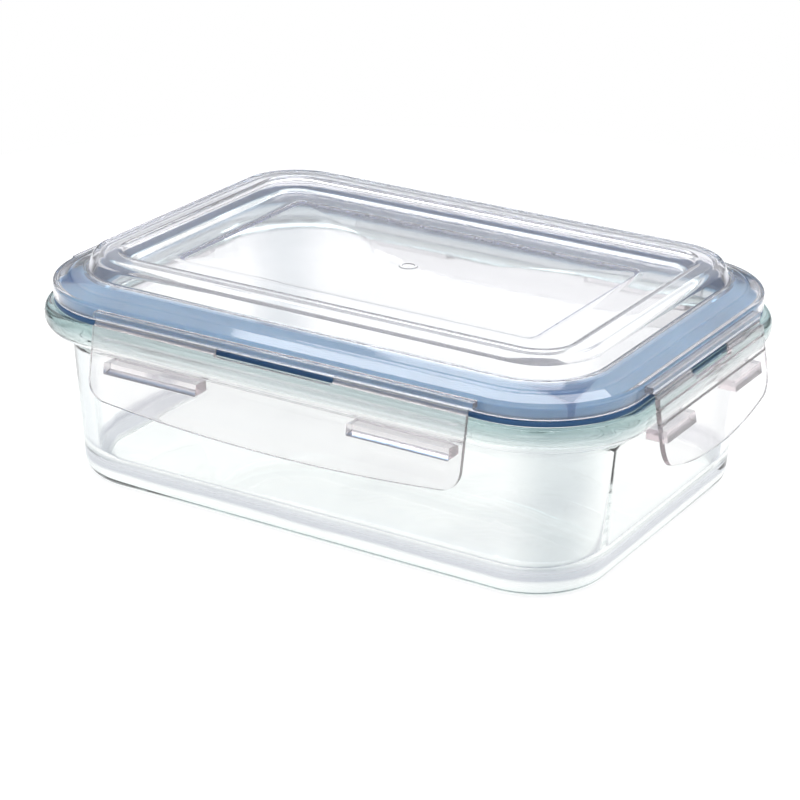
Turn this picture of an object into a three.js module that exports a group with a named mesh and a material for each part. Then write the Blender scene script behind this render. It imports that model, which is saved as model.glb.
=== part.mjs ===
// Rectangular glass storage container with a clear snap lid, in millimetres, +Z up,
// long side along X. The base rests on Z = 0 and the lid is closed with all four flaps down.
import * as THREE from 'three';

// Lid rim outline that everything else is measured from
const RIM_LENGTH = 190;
const RIM_DEPTH = 136;
const RIM_CORNER = 31;
const SMALLEST_CORNER = 3;
const CORNER_STEPS = 7;

// Flaps, measured along the side from its middle
const LONG = {
  reach: RIM_DEPTH / 2, half: 61.5, slot: 19.2, slotDrop: 0.7, hookFrom: 25, hookTo: 57, bow: 3.2,
};
const SHORT = {
  reach: RIM_LENGTH / 2, half: 34, slot: 11.6, slotDrop: 1.6, hookFrom: 13, hookTo: 31, bow: 5.2,
};
const LEDGE_OUT = 2.6;
const LEDGE_EXTRA = 1;
const LEDGE_END = 0.4;

// Living hinge line, out from the rim face and up from the base, and its thin strips
const HINGE_OUT = 3.0;
const HINGE_Z = 57.65;
const HINGE_WEB_RADIUS = 0.4;
const HINGE_WEB_SIDES = 8;
const HINGE_END_GAP = 0.5;

// Flap section, from the slot in its top edge down to the bowed lower edge
const FLAP_TOP = 56.9;
const FLAP_BOTTOM = 32.7;
const FLAP_CORNER = 6;
const FLAP_THICKNESS = 1.6;
const FLAP_TOP_THICKNESS = 1.4;
const FLAP_THIN_ABOVE = 55;
const RIB_LINES = [54, 49.6];
const RIB_RAISE = 0.45;
const RIB_FOOT = 0.7;
const RIB_CREST = 0.3;

// Outer face of a flap, over the glass rim and down with a slight flare: [height, out]
const FLAP_FACE_POINTS = [[57, 4.2], [54, 4.9], [50, 5.5], [44, 6.2], [38, 7.0], [32, 7.8]];

// Catch hooks on the inside of a flap, whose tips pass under the glass rim
const HOOK_TIP_OUT = -0.8;
const HOOK_TOP = 46.9;
const HOOK_BOTTOM = 43.6;
const HOOK_DRAFT = 0.2;

// Floor of the dish, and both faces of the recessed panel of the lid
const DISH_FLOOR = 5.4;
const PANEL_UNDER = 64.1;
const PANEL_TOP = 65.5;

// Moulding mark in the middle of the panel: [radius, height]
const GATE_SECTION = [[2.9, PANEL_TOP], [2.7, 65.8], [2.0, 65.8], [1.8, PANEL_TOP]];

// Dish section: [inset from the rim face, height], from the base up, over the rim and down inside
const DISH_SECTION = [
  [13.0, 0], [10.4, 0.7], [8.5, 2.6], [7.8, 5.2], [5.3, 40], [4.9, 44.4], [3.8, 46.3],
  [1.6, 47.6], [-0.9, 48.4], [-2.3, 49.7], [-2.8, 51.8], [-2.2, 53.4], [-0.9, 54.3],
  [0.4, 54.4], [1.8, 53.9], [2.9, 52.6], [5.4, 48.8], [7.8, 45.6], [8.9, 41],
  [11.4, 11.6], [12.3, 8.4], [14.4, 6.2], [17.6, DISH_FLOOR],
];

// Lid section from the middle of its underside, round the gasket channel and back over the top
const LID_UNDER = [
  [24.2, PANEL_UNDER], [22.2, 65.2], [19.7, 67.6], [18.9, 67.8], [14.6, 67.8], [13.8, 67.2], [12.5, 63.9],
  [12.1, 63.3], [11.4, 63.0], [11.4, 52.9], [11.0, 52.5], [10.2, 52.5], [9.8, 52.9], [9.8, 63.1],
  [9.4, 63.3], [5.2, 61.6], [2.1, 60.2], [1.6, 59.8], [1.6, 56.6],
];
const LID_FACE = [[0, 56.6], [0, 57.8], [0, 58.8], [0, 60.6], [0.25, 61.2]];
const LID_FACE_AT_LEDGE = [
  [0, 56.6], [0, 58.4], [-LEDGE_OUT, 58.4], [-LEDGE_OUT, 60.5], [-LEDGE_OUT + 0.5, 61.1],
];
const LID_TOP = [
  [0.9, 61.6], [5.0, 62.5], [5.9, 62.95], [8.7, 64.0], [9.5, 64.4], [10.1, 64.35], [10.7, 65.0],
  [12.1, 68.3], [12.7, 69.1], [13.8, 69.5], [19.6, 69.5], [20.6, 69.1], [23.2, 66.5], [24.4, 66.0],
  [34.2, 66.0], [34.8, PANEL_TOP],
];

// Gasket section, inside the channel and down onto the glass rim
const GASKET_SECTION = [
  [9.4, 57.1], [7.0, 54.75], [0.5, 54.75], [0.2, 55.0], [0.2, 56.1], [2.0, 56.3],
  [2.0, 59.6], [5.2, 61.1], [9.4, 62.9],
];

function piece(name, geometry, color, roughness) {
  const material = new THREE.MeshStandardMaterial({ color, roughness, metalness: 0 });
  const mesh = new THREE.Mesh(geometry, material);
  mesh.name = name;
  return mesh;
}

function toGeometry(points, faces) {
  const geometry = new THREE.BufferGeometry();
  geometry.setAttribute('position', new THREE.Float32BufferAttribute(points.flat(), 3));
  geometry.setIndex(faces.flat());
  geometry.computeVertexNormals();
  return geometry;
}

// Points of one rounded rectangle, anticlockwise; ledge marks the stretches beside the flaps
function outline(inset, withLedges) {
  const radius = Math.max(RIM_CORNER - inset, SMALLEST_CORNER);
  const hx = RIM_LENGTH / 2 - inset - radius;
  const hy = RIM_DEPTH / 2 - inset - radius;
  const corners = [[hx, hy], [-hx, hy], [-hx, -hy], [hx, -hy]];
  const loop = [];
  corners.forEach(([cx, cy], quarter) => {
    for (let step = 0; step <= CORNER_STEPS; step += 1) {
      const angle = (quarter + step / CORNER_STEPS) * Math.PI / 2;
      const [x, y] = [cx + radius * Math.cos(angle), cy + radius * Math.sin(angle)];
      loop.push({ x, y, ledge: false });
    }
    if (!withLedges) return;
    const alongX = quarter % 2 === 0;
    const flap = alongX ? LONG : SHORT;
    const straight = alongX ? RIM_LENGTH / 2 - RIM_CORNER : RIM_DEPTH / 2 - RIM_CORNER;
    const end = (flap.half + LEDGE_EXTRA) / straight;
    const half = alongX ? hx : hy;
    const from = alongX ? Math.sign(cx) : Math.sign(cy);
    const inner = end - LEDGE_END / straight;
    for (const [share, ledge] of [[end, false], [inner, true], [-inner, true], [-end, false]]) {
      const along = from * share * half;
      loop.push(alongX
        ? { x: along, y: cy + Math.sign(cy) * radius, ledge }
        : { x: cx + Math.sign(cx) * radius, y: along, ledge });
    }
  });
  return loop;
}

function ring([inset, z], withLedges) {
  return outline(inset, withLedges).map(({ x, y }) => [x, y, z]);
}

// Rings joined in order; the open ends are closed with a fan to the middle
function shell(rings, bottomZ, topZ) {
  const count = rings[0].length;
  const points = rings.flat();
  const faces = [];
  for (let k = 0; k + 1 < rings.length; k += 1) {
    for (let j = 0; j < count; j += 1) {
      const next = (j + 1) % count;
      const [a, b] = [k * count + j, k * count + next];
      faces.push([a, b, b + count], [a, b + count, a + count]);
    }
  }
  const last = (rings.length - 1) * count;
  const bottom = points.push([0, 0, bottomZ]) - 1;
  const top = points.push([0, 0, topZ]) - 1;
  for (let j = 0; j < count; j += 1) {
    const next = (j + 1) % count;
    faces.push([bottom, next, j], [last + j, last + next, top]);
  }
  return toGeometry(points, faces);
}

function dish() {
  return shell(DISH_SECTION.map((point) => ring(point, false)), 0, DISH_FLOOR);
}

// The lid with its hinge ledges and the small moulding mark in the middle of the panel
function lid() {
  const under = LID_UNDER.map((point) => ring(point, true));
  const face = LID_FACE.map((point, k) => {
    const plain = outline(point[0], true);
    const wide = outline(LID_FACE_AT_LEDGE[k][0], true);
    return plain.map(({ x, y, ledge }, j) => {
      if (!ledge) return [x, y, point[1]];
      const alongX = Math.abs(y) > RIM_DEPTH / 2 - RIM_CORNER / 2;
      return [alongX ? x : wide[j].x, alongX ? wide[j].y : y, LID_FACE_AT_LEDGE[k][1]];
    });
  });
  const top = LID_TOP.map((point) => ring(point, true));
  const panel = outline(LID_TOP[LID_TOP.length - 1][0], true);
  const gate = GATE_SECTION.map(([radius, z]) => panel.map(({ x, y }) => {
    const shrink = radius / Math.hypot(x, y);
    return [x * shrink, y * shrink, z];
  }));
  return shell([...under, ...face, ...top, ...gate], PANEL_UNDER, PANEL_TOP);
}

function gasket() {
  const rings = GASKET_SECTION.map((point) => ring(point, false));
  const count = rings[0].length;
  const points = rings.flat();
  const faces = [];
  for (let k = 0; k < rings.length; k += 1) {
    const above = ((k + 1) % rings.length) * count;
    for (let j = 0; j < count; j += 1) {
      const next = (j + 1) % count;
      faces.push([k * count + j, k * count + next, above + next]);
      faces.push([k * count + j, above + next, above + j]);
    }
  }
  return toGeometry(points, faces);
}

const FLAP_FACE = new THREE.SplineCurve(
  FLAP_FACE_POINTS.map(([z, out]) => new THREE.Vector2(z, out)),
);

// How far the outer face of a flap stands off the rim face at a height
function flapFace(z) {
  const [highest, lowest] = [FLAP_FACE_POINTS[0][0], FLAP_FACE_POINTS.at(-1)[0]];
  return FLAP_FACE.getPoint((highest - z) / (highest - lowest)).y;
}

function flapThickness(z) {
  return z > FLAP_THIN_ABOVE ? FLAP_TOP_THICKNESS : FLAP_THICKNESS;
}

function flapBottom(along, flap) {
  const bow = FLAP_BOTTOM + flap.bow * (along / flap.half) ** 2;
  const past = Math.max(Math.abs(along) - (flap.half - FLAP_CORNER), 0);
  return bow + FLAP_CORNER - Math.sqrt(Math.max(FLAP_CORNER ** 2 - past ** 2, 0));
}

// One closed section of a flap at a distance along its side
function flapSection(flap, along) {
  const top = Math.abs(along) <= flap.slot ? FLAP_TOP - flap.slotDrop : FLAP_TOP;
  const bottom = flapBottom(along, flap);
  const heights = [top];
  for (const rib of RIB_LINES) {
    heights.push(rib + RIB_FOOT, rib + RIB_CREST, rib - RIB_CREST, rib - RIB_FOOT);
  }
  const tail = HOOK_BOTTOM - HOOK_DRAFT;
  heights.push(HOOK_TOP + HOOK_DRAFT, HOOK_TOP, HOOK_BOTTOM, tail);
  for (const share of [0.4, 0.75, 1]) heights.push(tail + (bottom - tail) * share);
  const hooked = Math.abs(along) >= flap.hookFrom && Math.abs(along) <= flap.hookTo;
  const outer = heights.map((z) => {
    const onRib = RIB_LINES.some((rib) => Math.abs(z - rib) < (RIB_FOOT + RIB_CREST) / 2);
    return [flapFace(z) + (onRib ? RIB_RAISE : 0), z];
  });
  const inner = heights.map((z) => {
    const inHook = hooked && z <= HOOK_TOP && z >= HOOK_BOTTOM;
    return [inHook ? HOOK_TIP_OUT : flapFace(z) - flapThickness(z), z];
  });
  return [...outer, ...inner.reverse()].map(([out, z]) => [along, -(flap.reach + out), z]);
}

function flapColumns(flap) {
  const side = [
    flap.half, flap.half - FLAP_CORNER / 8, flap.half - FLAP_CORNER / 2.5,
    flap.hookTo + HOOK_DRAFT, flap.hookTo, flap.hookFrom, flap.hookFrom - HOOK_DRAFT,
    flap.slot + HOOK_DRAFT, flap.slot, flap.slot / 3,
  ];
  return [...side.map((along) => -along), ...side.reverse()];
}

function flapBody(flap) {
  const sections = flapColumns(flap).map((along) => flapSection(flap, along));
  const count = sections[0].length;
  const rows = count / 2;
  const faces = [];
  for (let j = 0; j + 1 < sections.length; j += 1) {
    for (let m = 0; m < count; m += 1) {
      const next = (m + 1) % count;
      faces.push([j * count + m, j * count + next, (j + 1) * count + next]);
      faces.push([j * count + m, (j + 1) * count + next, (j + 1) * count + m]);
    }
  }
  const end = (sections.length - 1) * count;
  for (let k = 0; k + 1 < rows; k += 1) {
    const [a, b, c, d] = [k, count - 1 - k, count - 2 - k, k + 1];
    faces.push([a, b, c], [a, c, d]);
    faces.push([end + a, end + c, end + b], [end + a, end + d, end + c]);
  }
  return toGeometry(sections.flat(), faces);
}

// One thin strip of living hinge, right (+1) or left (-1) of the slot
function hingeWeb(flap, hand) {
  const length = flap.half - flap.slot - 2 * HINGE_END_GAP;
  const web = new THREE.CylinderGeometry(
    HINGE_WEB_RADIUS, HINGE_WEB_RADIUS, length, HINGE_WEB_SIDES,
  );
  web.rotateZ(Math.PI / 2);
  web.translate(hand * (flap.half + flap.slot) / 2, -(flap.reach + HINGE_OUT), HINGE_Z);
  return web;
}

// A flap and its two hinge strips, turned from the front to one side of the lid
function flapSet(side, flap, turn) {
  return [
    piece(`latch_${side}`, flapBody(flap).rotateZ(turn), 0xd5d8e6, 0.25),
    piece(`hinge_web_${side}_a`, hingeWeb(flap, -1).rotateZ(turn), 0xdcdff0, 0.3),
    piece(`hinge_web_${side}_b`, hingeWeb(flap, 1).rotateZ(turn), 0xdcdff0, 0.3),
  ];
}

const part = new THREE.Group();
part.name = 'glass_storage_container';
part.add(piece('glass_dish', dish(), 0xc9ddd6, 0.05));
part.add(piece('lid', lid(), 0xdad8ea, 0.2));
part.add(piece('silicone_gasket', gasket(), 0x2a5c9e, 0.55));
part.add(...flapSet('front', LONG, 0));
part.add(...flapSet('right', SHORT, Math.PI / 2));
part.add(...flapSet('back', LONG, Math.PI));
part.add(...flapSet('left', SHORT, -Math.PI / 2));

export default part;
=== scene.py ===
import math
import bmesh
import bpy
from mathutils import Matrix, Vector


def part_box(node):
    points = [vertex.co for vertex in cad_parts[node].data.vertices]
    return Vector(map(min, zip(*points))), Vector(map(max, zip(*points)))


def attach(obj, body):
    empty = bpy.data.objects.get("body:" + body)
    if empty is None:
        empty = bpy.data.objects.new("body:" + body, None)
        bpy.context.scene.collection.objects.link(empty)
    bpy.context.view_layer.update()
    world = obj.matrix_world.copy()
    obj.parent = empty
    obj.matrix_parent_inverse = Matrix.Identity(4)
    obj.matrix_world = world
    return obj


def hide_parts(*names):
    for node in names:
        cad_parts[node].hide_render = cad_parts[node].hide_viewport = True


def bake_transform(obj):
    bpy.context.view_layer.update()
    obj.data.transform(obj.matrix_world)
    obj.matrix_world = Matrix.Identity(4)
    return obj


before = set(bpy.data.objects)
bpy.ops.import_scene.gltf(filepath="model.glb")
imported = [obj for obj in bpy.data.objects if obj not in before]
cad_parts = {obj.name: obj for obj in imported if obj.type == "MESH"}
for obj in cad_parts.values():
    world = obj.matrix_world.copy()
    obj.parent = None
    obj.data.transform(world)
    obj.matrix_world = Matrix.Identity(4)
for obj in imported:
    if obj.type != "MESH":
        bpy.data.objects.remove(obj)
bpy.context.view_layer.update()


# The studio: a pale round table that stays nearly white under the object, and a soft bright
# surround. A dimmer band at the horizon draws the edges of the clear pieces.
camera = bpy.data.objects.new("camera", bpy.data.cameras.new("camera"))
bpy.context.scene.collection.objects.link(camera)
bpy.context.scene.camera = camera
LOOKING, CAMERA_PLACE, ROLL_DEGREES = Vector((-0.47756, 0.7924, -0.37953)), (0.3634, -0.6067, 0.3130), -0.81
camera.location = CAMERA_PLACE
camera.rotation_mode = "QUATERNION"
roll = Matrix.Rotation(math.radians(ROLL_DEGREES), 4, LOOKING)
camera.rotation_quaternion = (roll @ LOOKING.to_track_quat("-Z", "Y").to_matrix().to_4x4()).to_quaternion()
camera.data.lens = 114.3
camera.data.clip_start = 0.01

world = bpy.data.worlds.new("studio")
bpy.context.scene.world = world
world.use_nodes = True
nodes, links = world.node_tree.nodes, world.node_tree.links
nodes.clear()
direction = nodes.new("ShaderNodeTexCoord")
height = nodes.new("ShaderNodeSeparateXYZ")
band = nodes.new("ShaderNodeValToRGB")
band.color_ramp.elements[0].color = (1.0, 1.0, 1.0, 1)
band.color_ramp.elements[1].position = 0.82
band.color_ramp.elements[1].color = (1.3, 1.3, 1.3, 1)
for share, grey in ((0.45, 1.0), (0.485, 0.16), (0.56, 0.20), (0.66, 0.75)):
    band.color_ramp.elements.new(share).color = (grey, 1.02 * grey, 1.06 * grey, 1)
whole = nodes.new("ShaderNodeMapRange")
whole.inputs["From Min"].default_value = -1.0
around = nodes.new("ShaderNodeBackground")
plain = nodes.new("ShaderNodeBackground")
plain.inputs["Color"].default_value = (1, 1, 1, 1)
seen = nodes.new("ShaderNodeLightPath")
choose = nodes.new("ShaderNodeMixShader")
out = nodes.new("ShaderNodeOutputWorld")
links.new(direction.outputs["Generated"], height.inputs["Vector"])
links.new(height.outputs["Z"], whole.inputs["Value"])
links.new(whole.outputs["Result"], band.inputs["Fac"])
links.new(band.outputs["Color"], around.inputs["Color"])
links.new(seen.outputs["Is Camera Ray"], choose.inputs["Fac"])
links.new(around.outputs["Background"], choose.inputs[1])
links.new(plain.outputs["Background"], choose.inputs[2])
links.new(choose.outputs["Shader"], out.inputs["Surface"])

FLOOR_RADIUS, FLOOR_MIDDLE, FLOOR_GREY, FLOOR_GLOW = 0.3, (-0.04, 0.06, 0), 0.35, 0.76
floor_mesh = bpy.data.meshes.new("floor")
bm = bmesh.new()
bmesh.ops.create_circle(bm, cap_ends=True, segments=64, radius=FLOOR_RADIUS)
bm.to_mesh(floor_mesh)
bm.free()
floor = bpy.data.objects.new("floor", floor_mesh)
bpy.context.scene.collection.objects.link(floor)
floor_paint = bpy.data.materials.new("pale_floor")
floor_paint.use_nodes = True
shader = floor_paint.node_tree.nodes["Principled BSDF"]
shader.inputs["Base Color"].default_value = (FLOOR_GREY, FLOOR_GREY, FLOOR_GREY, 1)
shader.inputs["Roughness"].default_value = 0.9
shader.inputs["Specular IOR Level"].default_value = 0.0
shader.inputs["Emission Color"].default_value = (1, 1, 1, 1)
shader.inputs["Emission Strength"].default_value = FLOOR_GLOW
floor_mesh.materials.append(floor_paint)
floor.location = FLOOR_MIDDLE

for name, place, size, power in (
    ("softbox_back", (-0.5, 0.9, 1.3), 0.9, 9),
    ("softbox_front", (0.5, -1.1, 1.2), 0.7, 1.5),
):
    lamp = bpy.data.lights.new(name, "AREA")
    lamp.shape = "DISK"
    lamp.size = size
    lamp.energy = power
    box_light = bpy.data.objects.new(name, lamp)
    box_light.location = place
    box_light.rotation_mode = "QUATERNION"
    box_light.rotation_quaternion = (-Vector(place)).to_track_quat("-Z", "Y")
    bpy.context.scene.collection.objects.link(box_light)

bpy.context.scene.view_settings.view_transform = "Standard"
bpy.context.scene.cycles.max_bounces = 40
bpy.context.scene.cycles.transmission_bounces = 40
bpy.context.scene.cycles.glossy_bounces = 12
bpy.context.scene.cycles.transparent_max_bounces = 24
bpy.context.scene.cycles.caustics_refractive = True
bpy.context.scene.cycles.blur_glossy = 0.3


# The dish: one piece of pressed glass with a thick rolled rim, slightly drafted walls and
# rounded bottom edges. Its section is swept round a quarter and mirrored.
MM = 0.001
LEDGE_OUT = 2.6 * MM
RIM_CORNER = 31 * MM
lid_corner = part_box("lid")[1]
face_x, face_y = lid_corner[0] - LEDGE_OUT, lid_corner[1] - LEDGE_OUT
corner_x, corner_y = face_x - RIM_CORNER, face_y - RIM_CORNER
ROUND_SEGMENTS, CORNER_STEPS, WELD = 7, 22, 1e-6


def section_wire(bm, corners):
    """A section as a wire; a corner is its inset from the rim face, height and rounding, in mm."""
    verts = [bm.verts.new((face_x - inset * MM, corner_y, z * MM)) for inset, z, _ in corners]
    for a, b in zip(verts, verts[1:]):
        bm.edges.new((a, b))
    for vert, (_, _, rounding) in zip(verts, corners):
        if rounding:
            bmesh.ops.bevel(
                bm, geom=[vert], offset=rounding * MM, offset_type="OFFSET", affect="VERTICES",
                segments=ROUND_SEGMENTS, profile=0.5, material=-1, clamp_overlap=True,
            )


def sweep_quarter(bm):
    """Turns the section round one corner, runs it to the middles of both sides and mirrors it."""
    wire = bm.verts[:] + bm.edges[:]
    first = bm.edges[:]
    turned = bmesh.ops.spin(
        bm, geom=wire, cent=(corner_x, corner_y, 0), axis=(0, 0, 1), angle=math.pi / 2,
        steps=CORNER_STEPS,
    )
    last = [part for part in turned["geom_last"] if isinstance(part, bmesh.types.BMEdge)]
    for edges, run in ((first, (0, -corner_y, 0)), (last, (-corner_x, 0, 0))):
        grown = bmesh.ops.extrude_edge_only(bm, edges=edges)["geom"]
        moved = [part for part in grown if isinstance(part, bmesh.types.BMVert)]
        bmesh.ops.translate(bm, verts=moved, vec=run)
    for axis in "XY":
        bmesh.ops.mirror(bm, geom=bm.verts[:] + bm.edges[:] + bm.faces[:], axis=axis, merge_dist=WELD)
    bmesh.ops.remove_doubles(bm, verts=bm.verts[:], dist=WELD)
    bmesh.ops.recalc_face_normals(bm, faces=bm.faces[:])


def finish_piece(bm, name, material, crease=30):
    """Turns a bmesh into a finished object with smooth faces and crisp edges above an angle."""
    mesh = bpy.data.meshes.new(name)
    bm.to_mesh(mesh)
    bm.free()
    for polygon in mesh.polygons:
        polygon.use_smooth = True
    mesh.set_sharp_from_angle(angle=math.radians(crease))
    mesh.materials.append(material)
    piece = bpy.data.objects.new(name, mesh)
    bpy.context.scene.collection.objects.link(piece)
    level = piece.modifiers.new("level_normals", "WEIGHTED_NORMAL")
    level.keep_sharp = True
    level.weight = 100
    return piece


def clear_material(name, tint, inside, density, roughness, haze, ior, waves_size, waves_depth, clarity):
    """A clear material whose surface is never quite flat: slow waves and fine handling marks."""
    material = bpy.data.materials.new(name)
    material.use_nodes = True
    nodes, links = material.node_tree.nodes, material.node_tree.links
    shader = nodes["Principled BSDF"]
    shader.inputs["Base Color"].default_value = (*tint, 1)
    shader.inputs["Transmission Weight"].default_value = clarity
    shader.inputs["IOR"].default_value = ior
    place = nodes.new("ShaderNodeTexCoord")
    waves = nodes.new("ShaderNodeTexNoise")
    waves.inputs["Scale"].default_value = waves_size
    waves.inputs["Detail"].default_value = 2.0
    bump = nodes.new("ShaderNodeBump")
    bump.inputs["Strength"].default_value = 1.0
    bump.inputs["Distance"].default_value = waves_depth
    marks = nodes.new("ShaderNodeTexNoise")
    marks.inputs["Scale"].default_value = waves_size * 9
    marks.inputs["Detail"].default_value = 5.0
    spread = nodes.new("ShaderNodeMapRange")
    spread.inputs["From Min"].default_value = 0.35
    spread.inputs["From Max"].default_value = 0.75
    spread.inputs["To Min"].default_value = roughness
    spread.inputs["To Max"].default_value = roughness + haze
    links.new(place.outputs["Object"], waves.inputs["Vector"])
    links.new(place.outputs["Object"], marks.inputs["Vector"])
    links.new(waves.outputs["Fac"], bump.inputs["Height"])
    links.new(bump.outputs["Normal"], shader.inputs["Normal"])
    links.new(marks.outputs["Fac"], spread.inputs["Value"])
    links.new(spread.outputs["Result"], shader.inputs["Roughness"])
    depth = nodes.new("ShaderNodeVolumeAbsorption")
    depth.inputs["Color"].default_value = (*inside, 1)
    depth.inputs["Density"].default_value = density
    links.new(depth.outputs["Volume"], nodes["Material Output"].inputs["Volume"])
    return material


def both_sides(nodes, links, axes, x_range, y_range):
    """A share that rises over a range of |x| and over a range of |y| at once."""
    both = nodes.new("ShaderNodeMath")
    both.operation = "MULTIPLY"
    for slot, (axis, (none, full)) in enumerate((("X", x_range), ("Y", y_range))):
        size = nodes.new("ShaderNodeMath")
        size.operation = "ABSOLUTE"
        share = nodes.new("ShaderNodeMapRange")
        share.interpolation_type = "SMOOTHSTEP"
        share.inputs["From Min"].default_value = none
        share.inputs["From Max"].default_value = full
        links.new(axes.outputs[axis], size.inputs[0])
        links.new(size.outputs["Value"], share.inputs["Value"])
        links.new(share.outputs["Result"], both.inputs[slot])
    return both


GLASS_TINT = (0.985, 0.995, 0.99)
pressed_glass = clear_material(
    "pressed_glass", tint=GLASS_TINT, inside=(0.68, 0.78, 0.77), density=9,
    roughness=0.0, haze=0.012, ior=1.5, waves_size=16, waves_depth=0.22 * MM, clarity=1.0,
)
# Painted shade: the thick bottom edge, the four corners and the top of the rim are painted darker than the
# plain walls, standing in for shade and dark reflections seen in the glass
nodes, links = pressed_glass.node_tree.nodes, pressed_glass.node_tree.links
place = nodes.new("ShaderNodeTexCoord")
flow = nodes.new("ShaderNodeTexNoise")
flow.inputs["Scale"].default_value = 28
flow.inputs["Detail"].default_value = 3
DRIFT = 0.7 * MM
drift = nodes.new("ShaderNodeMapRange")
drift.inputs["To Min"].default_value = -DRIFT
drift.inputs["To Max"].default_value = DRIFT
axes = nodes.new("ShaderNodeSeparateXYZ")
level = nodes.new("ShaderNodeMath")
rise = nodes.new("ShaderNodeMapRange")
TOP_TONE = 55
rise.inputs["From Max"].default_value = TOP_TONE * MM
tint_and_painted_shade = nodes.new("ShaderNodeValToRGB")
tint_and_painted_shade.color_ramp.elements[0].color = (0.94, 0.975, 0.96, 1)
tint_and_painted_shade.color_ramp.elements[1].color = (0.28, 0.43, 0.43, 1)
tint_and_painted_shade.color_ramp.elements[1].position = 53.6 / TOP_TONE
# Painted shade bands: grey-lilac just above the inner floor, and a darker green along the top of the rim as
# painted shade and reflection of the ring
for z, tone in (
    (5.4, (0.97, 0.985, 0.98)), (6.4, (0.44, 0.45, 0.52)), (9.2, (0.52, 0.53, 0.59)),
    (10.6, GLASS_TINT), (49.8, GLASS_TINT), (51.8, (0.66, 0.76, 0.77)),
):
    tint_and_painted_shade.color_ramp.elements.new(z / TOP_TONE).color = (*tone, 1)
links.new(place.outputs["Object"], axes.inputs["Vector"])
links.new(place.outputs["Object"], flow.inputs["Vector"])
links.new(flow.outputs["Fac"], drift.inputs["Value"])
links.new(axes.outputs["Z"], level.inputs[0])
links.new(drift.outputs["Result"], level.inputs[1])
links.new(level.outputs["Value"], rise.inputs["Value"])
links.new(rise.outputs["Result"], tint_and_painted_shade.inputs["Fac"])
# Painted shade: the four corners of the walls are multiplied darker
corner = both_sides(nodes, links, axes, (66 * MM, 80 * MM), (39 * MM, 53 * MM))
painted_corner_shade = nodes.new("ShaderNodeMix")
painted_corner_shade.data_type = "RGBA"
painted_corner_shade.blend_type = "MULTIPLY"
painted_corner_shade.inputs[7].default_value = (0.74, 0.77, 0.79, 1)
links.new(corner.outputs["Value"], painted_corner_shade.inputs["Factor"])
links.new(tint_and_painted_shade.outputs["Color"], painted_corner_shade.inputs[6])
links.new(painted_corner_shade.outputs[2], nodes["Principled BSDF"].inputs["Base Color"])

bm = bmesh.new()
section_wire(bm, [
    (30, 0, 0), (8.1, 0, 5.0), (5.0, 46.6, 1.8), (-2.8, 47.9, 2.6), (-2.8, 54.4, 2.7),
    (2.6, 54.4, 2.2), (8.7, 45.6, 5.0), (11.9, 5.4, 6.0), (30, 5.4, 0),
])
sweep_quarter(bm)
bmesh.ops.holes_fill(bm, edges=[edge for edge in bm.edges if edge.is_boundary], sides=0)
bmesh.ops.recalc_face_normals(bm, faces=bm.faces[:])
dish = finish_piece(bm, "dish_glass", pressed_glass)
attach(dish, "dish")
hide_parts("glass_dish")


# The sealing ring: a moulded silicone rope with a lip, pressed into the lid's channel so that
# its foot sits on the glass rim. Translucent blue, smooth, with faint dust-fine mottling.
blue_silicone = bpy.data.materials.new("blue_silicone")
blue_silicone.use_nodes = True
nodes, links = blue_silicone.node_tree.nodes, blue_silicone.node_tree.links
shader = nodes["Principled BSDF"]
place = nodes.new("ShaderNodeTexCoord")
mottle = nodes.new("ShaderNodeTexNoise")
mottle.inputs["Scale"].default_value = 60
mottle.inputs["Detail"].default_value = 4
shades = nodes.new("ShaderNodeValToRGB")
shades.color_ramp.elements[0].position = 0.3
shades.color_ramp.elements[0].color = (0.07, 0.28, 0.52, 1)
shades.color_ramp.elements[1].position = 0.75
shades.color_ramp.elements[1].color = (0.11, 0.36, 0.62, 1)
grain = nodes.new("ShaderNodeTexNoise")
grain.inputs["Scale"].default_value = 900
skin = nodes.new("ShaderNodeBump")
skin.inputs["Strength"].default_value = 0.25
skin.inputs["Distance"].default_value = 0.0001
links.new(place.outputs["Object"], mottle.inputs["Vector"])
links.new(place.outputs["Object"], grain.inputs["Vector"])
links.new(mottle.outputs["Fac"], shades.inputs["Fac"])
level = nodes.new("ShaderNodeSeparateXYZ")
# Painted shade: below this height range the blue is mixed to a dark navy, standing in for the shade between
# the lid's skirt and the glass rim
foot = nodes.new("ShaderNodeMapRange")
foot.inputs["From Min"].default_value = 56.5 * MM
foot.inputs["From Max"].default_value = 57.4 * MM
painted_foot_shade = nodes.new("ShaderNodeMix")
painted_foot_shade.data_type = "RGBA"
painted_foot_shade.inputs[6].default_value = (0.010, 0.078, 0.20, 1)
links.new(place.outputs["Object"], level.inputs["Vector"])
links.new(level.outputs["Z"], foot.inputs["Value"])
links.new(foot.outputs["Result"], painted_foot_shade.inputs["Factor"])
links.new(shades.outputs["Color"], painted_foot_shade.inputs[7])
links.new(painted_foot_shade.outputs[2], shader.inputs["Base Color"])
links.new(grain.outputs["Fac"], skin.inputs["Height"])
links.new(skin.outputs["Normal"], shader.inputs["Normal"])
shader.inputs["Roughness"].default_value = 0.42
shader.inputs["Subsurface Weight"].default_value = 0.2
shader.inputs["Subsurface Radius"].default_value = (0.1, 0.4, 1.0)
shader.inputs["Subsurface Scale"].default_value = 0.002

bm = bmesh.new()
section_wire(bm, [
    (5.0, 60.88, 0), (9.4, 62.9, 0.6), (9.4, 57.1, 0.8), (7.0, 54.75, 0.7), (0.2, 54.75, 0.4),
    (0.2, 56.2, 0.3), (2.0, 56.3, 0.2), (2.0, 59.5, 0.5), (5.0, 60.88, 0),
])
bmesh.ops.remove_doubles(bm, verts=bm.verts[:], dist=WELD)
sweep_quarter(bm)
gasket = finish_piece(bm, "sealing_ring", blue_silicone)
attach(gasket, "lid")
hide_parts("silicone_gasket")


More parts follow.
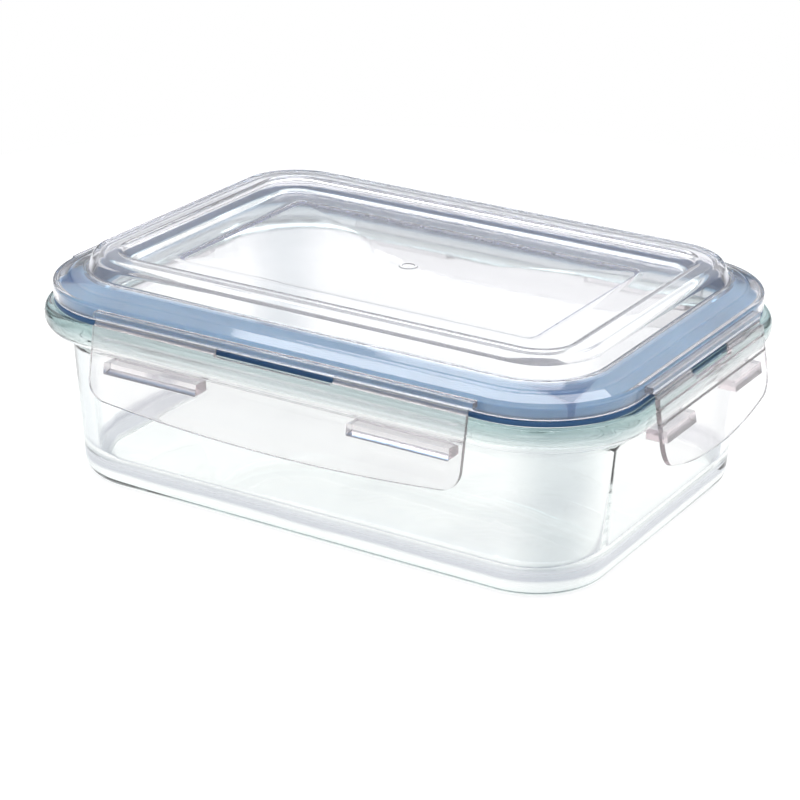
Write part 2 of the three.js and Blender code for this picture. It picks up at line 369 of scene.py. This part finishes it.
# The lid: one clear plastic moulding. A channel for the ring runs round the rim, a raised band
# stands inside it, and the middle is a recessed panel with a fine border and a gate mark.
LID_TINT, LID_INSIDE, LID_DENSITY, LID_IOR = (0.975, 0.97, 0.985), (0.78, 0.80, 0.92), 26, 1.49
PAINTED_RING_BLUE = (0.30, 0.46, 0.66)
clear_lid = clear_material(
    "clear_lid_plastic", tint=LID_TINT, inside=LID_INSIDE, density=LID_DENSITY,
    roughness=0.02, haze=0.05, ior=LID_IOR, waves_size=22, waves_depth=0.1 * MM, clarity=0.93,
)
# Painted reflection: the channel's inner wall is painted the blue of the ring that presses against it, in
# place of the ring's blue light seen in the clear plastic
nodes, links = clear_lid.node_tree.nodes, clear_lid.node_tree.links
WALL_INSET, WALL_FADE = 9.7 * MM, 0.3 * MM
place = nodes.new("ShaderNodeTexCoord")
axes = nodes.new("ShaderNodeSeparateXYZ")
rise = nodes.new("ShaderNodeMapRange")
LOW, HIGH = 50, 70
rise.inputs["From Min"].default_value = LOW * MM
rise.inputs["From Max"].default_value = HIGH * MM
painted_ring_reflection = nodes.new("ShaderNodeValToRGB")
painted_ring_reflection.color_ramp.elements[0].color = (*LID_TINT, 1)
painted_ring_reflection.color_ramp.elements[1].color = (*LID_TINT, 1)
for z, tone in ((55.0, LID_TINT), (55.8, PAINTED_RING_BLUE), (62.6, PAINTED_RING_BLUE), (63.3, LID_TINT)):
    painted_ring_reflection.color_ramp.elements.new((z - LOW) / (HIGH - LOW)).color = (*tone, 1)
links.new(place.outputs["Object"], axes.inputs["Vector"])
links.new(axes.outputs["Z"], rise.inputs["Value"])
links.new(rise.outputs["Result"], painted_ring_reflection.inputs["Fac"])
wall = both_sides(
    nodes, links, axes, (face_x - WALL_INSET + WALL_FADE, face_x - WALL_INSET),
    (face_y - WALL_INSET + WALL_FADE, face_y - WALL_INSET),
)
painted_reflection_mix = nodes.new("ShaderNodeMix")
painted_reflection_mix.data_type = "RGBA"
painted_reflection_mix.inputs[6].default_value = (*LID_TINT, 1)
links.new(wall.outputs["Value"], painted_reflection_mix.inputs["Factor"])
links.new(painted_ring_reflection.outputs["Color"], painted_reflection_mix.inputs[7])
links.new(painted_reflection_mix.outputs[2], nodes["Principled BSDF"].inputs["Base Color"])

bm = bmesh.new()
section_wire(bm, [
    (26, 64.1, 0), (23.9, 64.1, 1.0), (20.0, 67.9, 1.0), (14.3, 67.9, 1.8), (12.4, 63.3, 0.5),
    (11.4, 63.0, 0.2), (11.4, 52.5, 0.5), (9.8, 52.5, 0.5), (9.8, 63.5, 0.2), (1.6, 60.0, 0.6),
    (1.6, 56.6, 0.3), (0, 56.6, 0.3),
    (0, 58.4, 0), (0, 60.2, 0), (0, 61.2, 0.7), (4.7, 62.3, 0.5), (5.5, 62.95, 0.4), (9.5, 64.4, 0.7),
    (10.3, 64.1, 0.5), (12.3, 69.5, 1.7), (20.2, 69.5, 1.0), (23.6, 66.0, 1.2), (26, 66.0, 0),
])
sweep_quarter(bm)

# The fine matte border of the panel and the raised gate mark grow inwards from the band; the border is
# painted a darker lilac-grey as painted shade on its slope
open_edges = [edge for edge in bm.edges if edge.is_boundary]
panel_middle = 65 * MM
top_edges = [edge for edge in open_edges if edge.verts[0].co.z > panel_middle]
low_edges = [edge for edge in open_edges if edge.verts[0].co.z < panel_middle]
bmesh.ops.holes_fill(bm, edges=low_edges, sides=0)
BORDER_INSET, BORDER_CORNER, BORDER_SLOPE = 34.8 * MM, 3 * MM, 0.9 * MM
PANEL_EDGE_Z, PANEL_Z = 66.0 * MM, 65.55 * MM


def next_ring(edges):
    """Grows one more ring of faces from a border and gives its new vertices and border edges."""
    grown = bmesh.ops.extrude_edge_only(bm, edges=edges)["geom"]
    verts = [part for part in grown if isinstance(part, bmesh.types.BMVert)]
    return verts, [part for part in grown if isinstance(part, bmesh.types.BMEdge) and part.is_boundary]


verts, top_edges = next_ring(top_edges)
for vert in verts:
    ends = (face_x - BORDER_INSET - BORDER_CORNER, face_y - BORDER_INSET - BORDER_CORNER)
    past = Vector([
        math.copysign(max(abs(vert.co[axis]) - start, 0), vert.co[axis])
        for axis, start in enumerate((corner_x, corner_y))
    ]).normalized() * BORDER_CORNER
    for axis, end in enumerate(ends):
        vert.co[axis] = max(-end, min(end, vert.co[axis])) + past[axis]
    vert.co.z = PANEL_EDGE_Z
verts, top_edges = next_ring(top_edges)
for vert in verts:
    for axis in (0, 1):
        if abs(vert.co[axis]) > WELD:
            vert.co[axis] -= math.copysign(BORDER_SLOPE, vert.co[axis])
    vert.co.z = PANEL_Z
border_faces = {face for vert in verts for face in vert.link_faces}
GATE_RADIUS, GATE_SEGMENTS = 2.9 * MM, 48
bmesh.ops.create_circle(
    bm, segments=GATE_SEGMENTS, radius=GATE_RADIUS, matrix=Matrix.Translation((0, 0, PANEL_Z)),
)
gate_edges = [edge for edge in bm.edges if edge.is_wire]
bmesh.ops.bridge_loops(bm, edges=top_edges + gate_edges)
GATE_RAISE = 0.25 * MM
for shrink, rise in ((0.93, GATE_RAISE), (0.74, 0), (0.9, -GATE_RAISE)):
    verts, gate_edges = next_ring(gate_edges)
    bmesh.ops.scale(bm, verts=verts, vec=(shrink, shrink, 1))
    bmesh.ops.translate(bm, verts=verts, vec=(0, 0, rise))
bmesh.ops.holes_fill(bm, edges=gate_edges, sides=0)
for face in bm.faces:
    face.material_index = int(face in border_faces)

# The ledges that carry the flaps are drawn out of the rim face beside each flap
LEDGE_LOW, LEDGE_HIGH, FACING = 58.4 * MM, 60.2 * MM, 0.99
ledge_half = (62.5 * MM, 35 * MM)
for normal, reach in zip(((1, 0, 0), (0, 1, 0)), ledge_half):
    for hand in (-1, 1):
        bmesh.ops.bisect_plane(
            bm, geom=bm.verts[:] + bm.edges[:] + bm.faces[:], dist=1e-7,
            plane_co=Vector(normal) * hand * reach, plane_no=normal,
        )
for normal, along in (((0, -1, 0), 0), ((0, 1, 0), 0), ((1, 0, 0), 1), ((-1, 0, 0), 1)):
    normal = Vector(normal)
    face_out = (face_y, face_x)[along] - WELD
    band_faces = [
        face for face in bm.faces
        if face.normal.dot(normal) > FACING
        and LEDGE_LOW < face.calc_center_median().z < LEDGE_HIGH
        and abs(face.calc_center_median()[along]) < ledge_half[along]
        and face.calc_center_median().dot(normal) > face_out
    ]
    grown = bmesh.ops.extrude_face_region(bm, geom=band_faces)["geom"]
    verts = [part for part in grown if isinstance(part, bmesh.types.BMVert)]
    bmesh.ops.translate(bm, verts=verts, vec=normal * LEDGE_OUT)
    bmesh.ops.delete(bm, geom=[face for face in band_faces if face.is_valid], context="FACES")
bmesh.ops.recalc_face_normals(bm, faces=bm.faces[:])
lid = finish_piece(bm, "lid_moulding", clear_lid)
# The border's material is rougher and painted a darker lilac-grey: painted shade on the slope of the border
lid.data.materials.append(clear_material(
    "border_matte_and_painted_shade", tint=(0.62, 0.63, 0.74), inside=LID_INSIDE, density=LID_DENSITY,
    roughness=0.25, haze=0.1, ior=LID_IOR, waves_size=22, waves_depth=0.1 * MM, clarity=0.8,
))
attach(lid, "lid")
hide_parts("lid")


# The four flaps, part of the same moulding. Each is a curved plate that comes over the glass
# rim, with two stiffening lines, two catch hooks on its inside and a bowed lower edge.
clear_flap = clear_material(
    "clear_flap_plastic", tint=(0.98, 0.975, 0.98), inside=(0.90, 0.74, 0.78), density=40,
    roughness=0.02, haze=0.05, ior=LID_IOR, waves_size=26, waves_depth=0.1 * MM, clarity=0.90,
)

FLAP_TOP, FLAP_BOTTOM, FLAP_CORNER, FLAP_THICKNESS = 56.9 * MM, 32.7 * MM, 5.5 * MM, 1.5 * MM
BOW_STEPS, CORNER_SEGMENTS, EDGE_ROUND = 16, 8, 0.22 * MM
HOOK_TOP, HOOK_BOTTOM, HOOK_TIP = 46.9 * MM, 43.6 * MM, 0.8 * MM
RIB_LINES, RIB_FOOT, RIB_CREST, RIB_RAISE = (54.0 * MM, 49.6 * MM), 0.55 * MM, 0.2 * MM, 0.35 * MM
RIB_END, SLOT_COLUMN, SHARP_EDGE = 1.5 * MM, 0.55, math.radians(55)
ROWS = (55.5, 52.6, 51.4, 48.2, 45.2, 41.5, 39, 37, 35)
sides = (
    ("front", 0, face_y, (61.5, 19.2, 0.7, 25, 57, 3.4)),
    ("right", math.pi / 2, face_x, (34, 11.6, 1.6, 13, 31, 5.4)),
    ("back", math.pi, face_y, (61.5, 19.2, 0.7, 25, 57, 3.4)),
    ("left", -math.pi / 2, face_x, (34, 11.6, 1.6, 13, 31, 5.4)),
)


def flap_out(z):
    """How far the outer face of a flap stands off the rim face at a height."""
    drop = (57 * MM - z) / (25 * MM)
    return (4.2 + 4.6 * drop - 2.1 * drop * (1 - drop) * (1 - 2 * drop) - 1.0 * drop * drop) * MM


def cut(bm, place, normal):
    """Cuts a row of edges through the whole plate."""
    bmesh.ops.bisect_plane(
        bm, geom=bm.verts[:] + bm.edges[:] + bm.faces[:], dist=1e-7, plane_co=place, plane_no=normal,
    )


def build_flap(half, slot, slot_drop, hook_from, hook_to, bow):
    """A flap in front of the rim face: half its length, its slot, its hooks and its bowed edge."""
    bm = bmesh.new()
    outline = [(-half, FLAP_TOP), (-slot, FLAP_TOP), (-slot, FLAP_TOP - slot_drop)]
    outline += [(slot, FLAP_TOP - slot_drop), (slot, FLAP_TOP), (half, FLAP_TOP)]
    first_low = len(outline)
    for step in range(BOW_STEPS + 1):
        share = 1 - 2 * step / BOW_STEPS
        outline.append((half * share, FLAP_BOTTOM + bow * share ** 2))
    verts = [bm.verts.new((x, 0, z)) for x, z in outline]
    bm.faces.new(verts)
    for vert in (verts[first_low], verts[-1]):
        bmesh.ops.bevel(
            bm, geom=[vert], offset=FLAP_CORNER, offset_type="OFFSET", affect="VERTICES",
            segments=CORNER_SEGMENTS, profile=0.5, material=-1, clamp_overlap=False,
        )
    heights = [HOOK_TOP, HOOK_BOTTOM] + [row * MM for row in ROWS]
    for rib in RIB_LINES:
        heights += [rib + RIB_FOOT, rib + RIB_CREST, rib - RIB_CREST, rib - RIB_FOOT]
    for z in heights:
        cut(bm, (0, 0, z), (0, 0, 1))
    for x in (hook_from, hook_to, SLOT_COLUMN * slot, half - RIB_END):
        for hand in (-1, 1):
            cut(bm, (hand * x, 0, 0), (1, 0, 0))
    for vert in bm.verts:
        on_rib = any(abs(vert.co.z - rib) < (RIB_CREST + RIB_FOOT) / 2 for rib in RIB_LINES)
        inboard = abs(vert.co.x) < half - RIB_END / 2
        vert.co.y = -flap_out(vert.co.z) - (RIB_RAISE if on_rib and inboard else 0)
    bmesh.ops.recalc_face_normals(bm, faces=bm.faces[:])
    if sum(face.normal.y for face in bm.faces) > 0:
        bmesh.ops.reverse_faces(bm, faces=bm.faces[:])
    bmesh.ops.solidify(bm, geom=bm.faces[:], thickness=FLAP_THICKNESS)
    hook_faces = [
        face for face in bm.faces
        if face.normal.y > 0.8
        and HOOK_BOTTOM < face.calc_center_median().z < HOOK_TOP
        and hook_from < abs(face.calc_center_median().x) < hook_to
    ]
    grown = bmesh.ops.extrude_face_region(bm, geom=hook_faces)["geom"]
    for part in grown:
        if isinstance(part, bmesh.types.BMVert):
            part.co.y = HOOK_TIP
    bmesh.ops.delete(bm, geom=[face for face in hook_faces if face.is_valid], context="FACES")
    bmesh.ops.recalc_face_normals(bm, faces=bm.faces[:])
    sharp = [
        edge for edge in bm.edges
        if len(edge.link_faces) == 2 and edge.calc_face_angle(0) > SHARP_EDGE
    ]
    bmesh.ops.bevel(
        bm, geom=sharp, offset=EDGE_ROUND, offset_type="OFFSET", affect="EDGES",
        segments=2, profile=0.5, material=-1, clamp_overlap=True,
    )
    return bm


for side, turn, reach, lengths in sides:
    bm = build_flap(*[length * MM for length in lengths])
    bmesh.ops.translate(bm, verts=bm.verts[:], vec=(0, -reach, 0))
    bmesh.ops.rotate(bm, verts=bm.verts[:], cent=(0, 0, 0), matrix=Matrix.Rotation(turn, 3, "Z"))
    flap = finish_piece(bm, f"flap_{side}", clear_flap)
    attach(flap, f"latch_{side}")
    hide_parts(f"latch_{side}")


# The living hinges: two films of the same plastic beside each flap's slot, moulded thin enough
# to fold for the life of the lid. They bend between the lid's ledge and the flap's top edge.
FILM_LINE = ((2.3, 58.45), (3.0, 57.9), (3.0, 57.4), (3.5, 56.85))
FILM_THICKNESS, FILM_END_GAP, FILM_CUTS = 0.45 * MM, 0.2 * MM, 4
for side, turn, reach, lengths in sides:
    near, far = lengths[1] * MM + FILM_END_GAP, lengths[0] * MM - FILM_END_GAP
    quarter = Matrix.Rotation(turn, 3, "Z")
    for hand, letter in ((-1, "a"), (1, "b")):
        bm = bmesh.new()
        line = [bm.verts.new((near, -out * MM, z * MM)) for out, z in FILM_LINE]
        edges = [bm.edges.new(pair) for pair in zip(line, line[1:])]
        bmesh.ops.subdivide_edges(bm, edges=edges, cuts=FILM_CUTS)
        verts, _ = next_ring(bm.edges[:])
        bmesh.ops.translate(bm, verts=verts, vec=(far - near, 0, 0))
        bmesh.ops.recalc_face_normals(bm, faces=bm.faces[:])
        bmesh.ops.solidify(bm, geom=bm.faces[:], thickness=FILM_THICKNESS)
        bmesh.ops.scale(bm, verts=bm.verts[:], vec=(hand, 1, 1))
        bmesh.ops.translate(bm, verts=bm.verts[:], vec=(0, -reach, 0))
        bmesh.ops.rotate(bm, verts=bm.verts[:], cent=(0, 0, 0), matrix=quarter)
        bmesh.ops.recalc_face_normals(bm, faces=bm.faces[:])
        film = finish_piece(bm, f"hinge_film_{side}_{letter}", clear_flap)
        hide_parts(f"hinge_web_{side}_{letter}")
        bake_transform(film)
